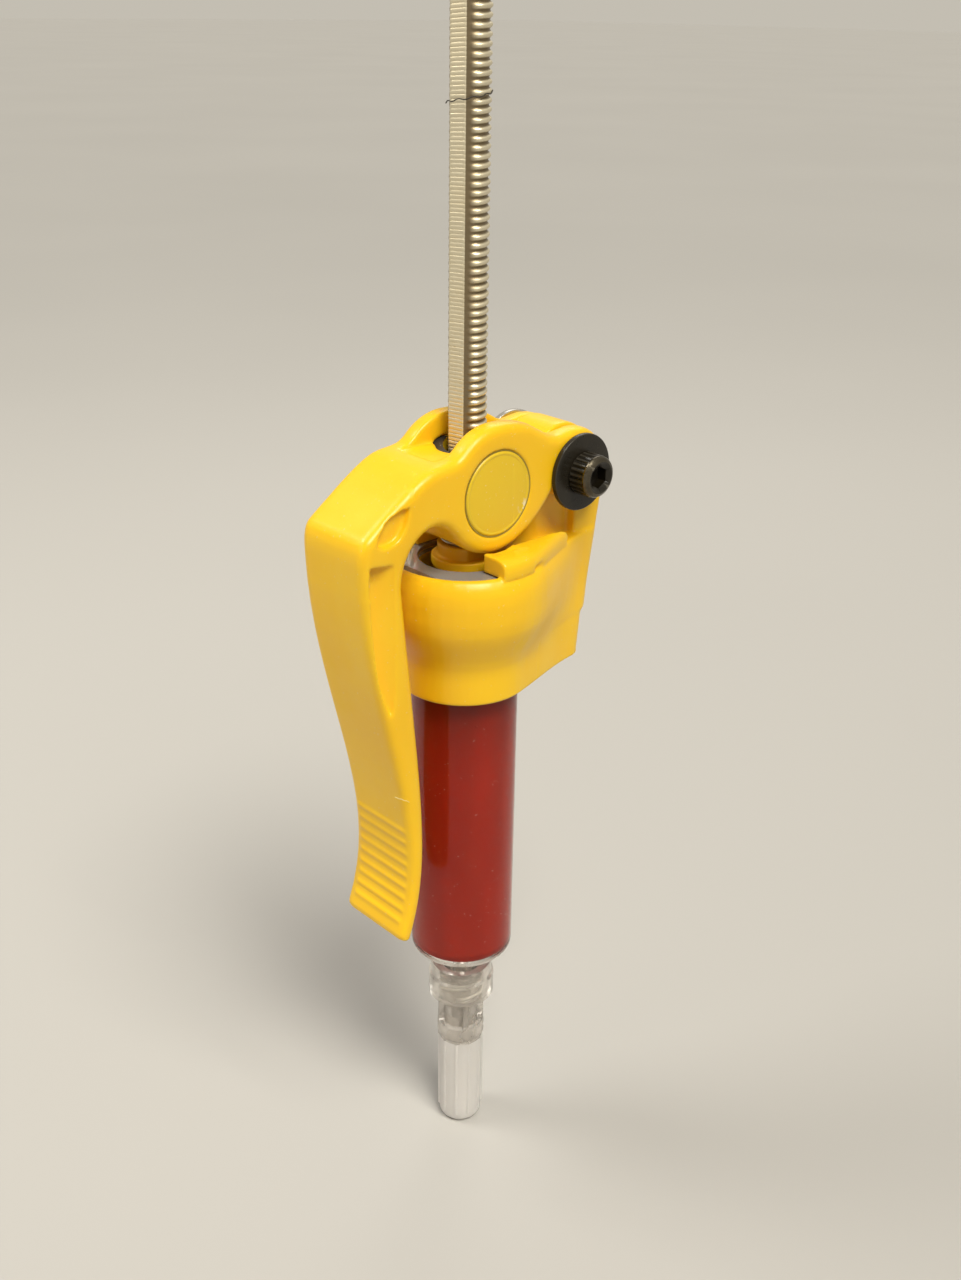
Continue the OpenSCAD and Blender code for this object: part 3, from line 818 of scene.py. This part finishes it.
def strands(fibre, scuff):
    """A dark fibre caught round the rod, and a torn scratch on the handle's side."""
    path, reach = [], ROD_RADIUS + 0.08
    for i in range(34):
        a = math.radians(-38 - 6 * i)
        level = 121.0 - 0.055 * i + 0.12 * math.sin(i)
        path.append((reach * math.cos(a), reach * math.sin(a), level))
    thread_of("caught_fibre", path, 0.085, "rod", fibre)
    path = [(-22.1 + 0.3 * i, -7.76 - 0.02 * math.sin(2 * i),
             15.4 - 0.21 * i + 0.05 * math.sin(1.7 * i)) for i in range(11)]
    thread_of("scratch", path, 0.045, "lever", scuff)


def return_spring(material):
    """Coil spring under the cross barrel, riding on the head."""
    low, high = (c.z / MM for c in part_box("return_spring"))
    wire, mean = 0.26, 3.78
    verts, faces = tube_along(coil_path(mean, low + wire, high - wire, 6), wire, 12)
    piece = new_piece("return_coil", mesh_from("return_coil", verts, faces), "head",
                      material)
    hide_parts("return_spring")
    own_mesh(piece)


def pawl_spring(material):
    """Small coil that presses the holding pawl on the rod."""
    low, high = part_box("holding_pawl_spring")
    wire, mean, level = 0.18, 0.7, (low.z + high.z) / 2 / MM
    path = [(low.x / MM + wire + z, y, level + x)
            for x, y, z in coil_path(mean, 0, (high.x - low.x) / MM - 2 * wire, 13, steps=24)]
    verts, faces = tube_along(path, wire, 8)
    piece = new_piece("holding_pawl_coil", mesh_from("holding_pawl_coil", verts, faces),
                      "holding_pawl", material)
    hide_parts("holding_pawl_spring")


def flux_column(material, air):
    """The column of flux with small bubbles at its wall, up to the tip of the piston's cone."""
    mesh = welded_mesh("flux_paste", "flux_column")
    low, high = (c.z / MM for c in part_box("flux_paste"))
    high -= CONE_DEPTH
    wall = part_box("flux_paste")[1].x / MM + WETTING
    bm = bmesh.new()
    bm.from_mesh(mesh)
    # the flux wets the wall, so it reaches a little into the clear barrel
    for vert in bm.verts:
        out = Vector((vert.co.x, vert.co.y, 0))
        if out.length > 0.5 * wall * MM:
            reach = SHOULDER_WETTING if vert.co.z < SHOULDER_BELOW * MM else WETTING
            vert.co += out.normalized() * reach * MM
        if vert.co.z < FOOT_BELOW * MM:
            vert.co.z -= SHOULDER_WETTING * MM
        vert.co.z = min(vert.co.z, high * MM)
    for polygon in bm.faces:
        polygon.smooth = True
        polygon.material_index = 0
    for i in range(BUBBLES):
        angle = i * GOLDEN_ANGLE
        size = 0.09 + 0.16 * ((i * 7) % 5) / 5
        height = low + 3 + (high - low - 8) * ((i * 11) % BUBBLES) / BUBBLES
        r = wall - 0.3 * size
        place = Vector((r * math.cos(angle), r * math.sin(angle), height))
        made = bmesh.ops.create_icosphere(bm, subdivisions=2, radius=size * MM,
                                          matrix=Matrix.Translation(place * MM))
        for polygon in {f for v in made["verts"] for f in v.link_faces}:
            polygon.smooth = True
            polygon.material_index = 1
    bm.to_mesh(mesh)
    bm.free()
    piece = new_piece("flux_column", mesh, "head", material)
    piece.data.materials.append(air)
    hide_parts("flux_paste")
    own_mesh(piece)
    split_edges(piece, 40)
    flux_collar(material, high, wall)


def flux_collar(material, level, wall):
    """The flux between the piston's cone and the wall, which moves down with the piston."""
    points, sides = [], 96
    profile = [(3.9, level - 0.02), (wall, level - 0.02), (wall, level + CONE_DEPTH),
               (wall - 0.52, level + CONE_DEPTH)]
    p = len(profile)
    for k in range(sides):
        a = 2 * math.pi * k / sides
        points += [(r * math.cos(a), r * math.sin(a), z) for r, z in profile]
    faces = []
    for k in range(sides):
        a, b = k * p, (k + 1) % sides * p
        faces += [(a + i, b + i, b + (i + 1) % p, a + (i + 1) % p) for i in range(p)]
    piece = new_piece("flux_collar", mesh_from("flux_collar", points, faces), "pusher",
                      material)
    shade_by_angle(piece, 30)


def resin_at(z):
    """Index of the barrel's resin at a level: 0 wall, 1 shoulder, 2 flange, 3 collar."""
    if z < COLLAR_BELOW:
        return 3
    if z < CLOUDY_BELOW:
        return 1
    return 2 if z > MILKY_ABOVE else 0


def barrel(clear, cloudy, milky, hazy):
    """The barrel: clear wall, cloudy shoulder, milky flange and hazy collar."""
    mesh = welded_mesh("syringe_barrel", "clear_barrel")
    piece = new_piece("clear_barrel", mesh, "head", clear)
    for material in (cloudy, milky, hazy):
        mesh.materials.append(material)
    for polygon in mesh.polygons:
        polygon.material_index = resin_at(polygon.center.z / MM)
    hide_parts("syringe_barrel")
    shade_by_angle(piece)


def collar_thread(material):
    """Two-start lock thread inside the collar at the outlet."""
    wall, rise, lead = 4.13, 0.42, 5.0
    top, bottom = -33.4, -39.2
    points, faces = [], []
    for start in (0, 180):
        base, count = len(points), 64
        for i in range(count + 1):
            t = i / count
            z = bottom + 0.5 + (top - bottom - 1.0) * t
            a = math.radians(start) + 2 * math.pi * (z - bottom) / lead
            taper = min(1, 8 * t, 8 * (1 - t))
            for r, dz in ((wall, -0.5), (wall - rise * taper, -0.16), (wall - rise * taper, 0.16),
                          (wall, 0.5)):
                points.append((r * math.cos(a), r * math.sin(a), z + dz))
        for i in range(count):
            for k in range(4):
                a, b = base + i * 4, base + (i + 1) * 4
                faces.append((a + k, a + (k + 1) % 4, b + (k + 1) % 4, b + k))
        faces += [(base + 3, base + 2, base + 1, base),
                  tuple(base + count * 4 + k for k in range(4))]
    new_piece("collar_thread", mesh_from("collar_thread", points, faces), "head",
              material)


def cap(frosted, cloudy):
    """The needle's cap, frosted along its flutes and clearer at its mouth."""
    mesh = welded_mesh("needle_cap", "fluted_cap")
    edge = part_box("needle_cap")[1].z - CLEAR_MOUTH * MM
    bm = bmesh.new()
    bm.from_mesh(mesh)
    bmesh.ops.bisect_plane(bm, geom=bm.verts[:] + bm.edges[:] + bm.faces[:],
                           plane_co=(0, 0, edge), plane_no=(0, 0, 1))
    bm.to_mesh(mesh)
    bm.free()
    piece = new_piece("fluted_cap", mesh, "cap", frosted)
    mesh.materials.append(cloudy)
    for polygon in mesh.polygons:
        polygon.material_index = 1 if polygon.center.z > edge else 0
    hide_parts("needle_cap")
    shade_by_angle(piece)


def cap_tip(material):
    """The torn gate under the cap's closed end."""
    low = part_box("needle_cap")[0].z / MM
    ring, points, faces = 9, [], []
    for level, reach in ((0.35, 1.15), (0.02, 1.0), (0.0, 0.5)):
        for k in range(ring):
            a = 2 * math.pi * k / ring
            r = reach * (0.8 + 0.3 * math.sin(3.1 * k + level * 7))
            z = low + level + 0.1 * math.sin(2.3 * k) * (level > 0)
            points.append((0.5 + r * math.cos(a), r * math.sin(a), max(z, low)))
    for base in (0, ring):
        for k in range(ring):
            n = (k + 1) % ring
            faces.append((base + k, base + n, base + ring + n, base + ring + k))
    faces.append(tuple(2 * ring + k for k in range(ring)))
    faces.append(tuple(reversed(range(ring))))
    new_piece("cap_gate", mesh_from("cap_gate", points, faces), "cap", material)


# ---------------------------------------------------------------- stage

def area_light(name, place, target, size, power, color):
    """A round lamp that shines on the target."""
    data = bpy.data.lights.new(name, "AREA")
    data.shape, data.size, data.energy, data.color = "DISK", size, power, color
    lamp = bpy.data.objects.new(name, data)
    lamp.location = place
    lamp.rotation_mode = "QUATERNION"
    lamp.rotation_quaternion = (Vector(target) - Vector(place)).to_track_quat("-Z", "Y")
    bpy.context.scene.collection.objects.link(lamp)


def camera_axes():
    """Right, up and forward of the camera, as unit vectors."""
    a, t, roll = (math.radians(v) for v in (CAMERA_AZIMUTH, CAMERA_PITCH, CAMERA_ROLL))
    forward = -Vector((math.sin(a) * math.cos(t), -math.cos(a) * math.cos(t), math.sin(t)))
    level = Vector((math.cos(a), math.sin(a), 0))
    upright = level.cross(forward)
    right = math.cos(roll) * level + math.sin(roll) * upright
    up = -math.sin(roll) * level + math.cos(roll) * upright
    return right, up, forward


def make_camera():
    """The camera that the photograph was fitted to."""
    right, up, forward = camera_axes()
    data = bpy.data.cameras.new("camera")
    data.lens, data.sensor_width = LENS_MM, SENSOR_MM
    data.clip_start, data.clip_end = 0.01, 20
    camera = bpy.data.objects.new("camera", data)
    place = Vector((0, 0, AIM_HEIGHT)) - forward * AIM_DEPTH - right * AIM_SHIFT
    camera.matrix_world = Matrix((
        (right.x, up.x, -forward.x, place.x * MM), (right.y, up.y, -forward.y, place.y * MM),
        (right.z, up.z, -forward.z, place.z * MM), (0, 0, 0, 1)))
    bpy.context.scene.collection.objects.link(camera)
    bpy.context.scene.camera = camera


def make_floor():
    """A plain pale floor under the cap's end."""
    level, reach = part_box("needle_cap")[0].z - FLOOR_GAP * MM, FLOOR_REACH
    mesh = bpy.data.meshes.new("floor")
    mesh.from_pydata([(-reach, -reach, level), (reach, -reach, level), (reach, reach, level),
                      (-reach, reach, level)], [], [(0, 1, 2, 3)])
    floor = bpy.data.objects.new("floor", mesh)
    bpy.context.scene.collection.objects.link(floor)
    material = bpy.data.materials.new("floor")
    material.use_nodes = True
    tree = material.node_tree
    surface = tree.nodes["Principled BSDF"]
    tone = mixed(tree, noise(tree, 3, 2), (0.46, 0.446, 0.423, 1), (0.50, 0.485, 0.46, 1))
    tree.links.new(tone, surface.inputs["Base Color"])
    surface.inputs["Roughness"].default_value = 0.85
    mesh.materials.append(material)


def make_world():
    """Even pale surroundings; the camera sees them a little lighter than they light."""
    world = bpy.data.worlds.new("studio")
    bpy.context.scene.world = world
    world.use_nodes = True
    tree = world.node_tree
    background = tree.nodes["Background"]
    path = put(tree, "LightPath")
    seen = math_node(tree, "MAXIMUM", path.outputs["Is Camera Ray"],
                     math_node(tree, "MAXIMUM", path.outputs["Is Glossy Ray"],
                               path.outputs["Is Transmission Ray"]))
    tone = mixed(tree, seen, (0.14, 0.135, 0.13, 1), (0.55, 0.515, 0.445, 1))
    tree.links.new(tone, background.inputs["Color"])
    background.inputs["Strength"].default_value = 1.0


def make_lights():
    """A soft sun from the front and three weak lamps, placed by the camera's axes."""
    right, up, forward = camera_axes()
    target = Vector((0, 0, 0.04))
    z = Vector((0, 0, 1))
    toward = Vector((-forward.x, -forward.y, 0)).normalized()
    side = Vector((right.x, right.y, 0)).normalized()
    sun = bpy.data.lights.new("key", "SUN")
    sun.energy, sun.angle, sun.color = 3.5, math.radians(30), (1.0, 0.96, 0.86)
    lamp = bpy.data.objects.new("key", sun)
    lamp.rotation_mode = "QUATERNION"
    lamp.rotation_quaternion = (0.26 * side + 0.5 * toward + 0.83 * z).to_track_quat("Z", "Y")
    bpy.context.scene.collection.objects.link(lamp)
    area_light("fill", target - 0.5 * side + 0.35 * toward + 0.25 * z, target, 0.4, 0.3,
               (1.0, 0.93, 0.84))
    area_light("sheen", target - 0.36 * side - 0.02 * toward + 0.42 * z, target, 0.24, 1.3,
               (1.0, 0.97, 0.9))
    area_light("back", target + 0.1 * side - 0.5 * toward + 0.4 * z, target, 0.3, 0.5,
               (1.0, 0.96, 0.9))


# ---------------------------------------------------------------- build

def build():
    """Every piece with its material."""
    yellow, lemon = yellow_resin(), lemon_resin()
    rod, bright, spring, black = rod_steel(), bright_steel(), spring_steel(), black_steel()
    clear, cloudy, frosted = clear_resin(), cloudy_resin(), frosted_resin()
    moulded_copy("head_body", "head_moulding", "head", yellow, head_softness)
    moulded_copy("lever", "lever_moulding", "lever", yellow, lever_softness)
    dress("drive_barrel", lemon, 0.38)
    dress("pusher_foot", yellow, 0.15)
    dress("piston", pale_rubber(), 0.12)
    threaded_rod(rod)
    for node in ("drive_pawl", "holding_pawl", "lock_nut", "foot_screw"):
        dress(node, bright, 0.12)
    dress("drive_pawl_leaf", spring)
    dress("holding_pawl_plug", black, 0.1)
    screw(black, rubbed_steel())
    dress("screw_washer", black, 0.2)
    dress("nut_washer", bright, 0.15)
    # Painted shade: the near-black that also colours the fibre darkens the slot's mouth, and an
    # olive ring darkens the gap round the barrel's ends
    fibre = black_for_fibre_and_shade()
    barrel_ends(lemon, painted_gap_shade())
    slot_mouth_shade(fibre)
    strands(fibre, scuffed_resin())
    dress("pivot_sleeve", brass(), 0.1)
    return_spring(spring)
    pawl_spring(spring)
    flux_column(flux_gel(), bubble_air())
    barrel(clear, cloudy, milky_resin(), hazy_resin())
    collar_thread(whitish_resin())
    dress("needle_hub", cloudy)
    dress("needle_tube", needle_steel())
    cap(frosted, cloudy)
    cap_tip(frosted)


build()
make_camera()
make_floor()
make_world()
make_lights()
bpy.context.scene.view_settings.view_transform = "Standard"
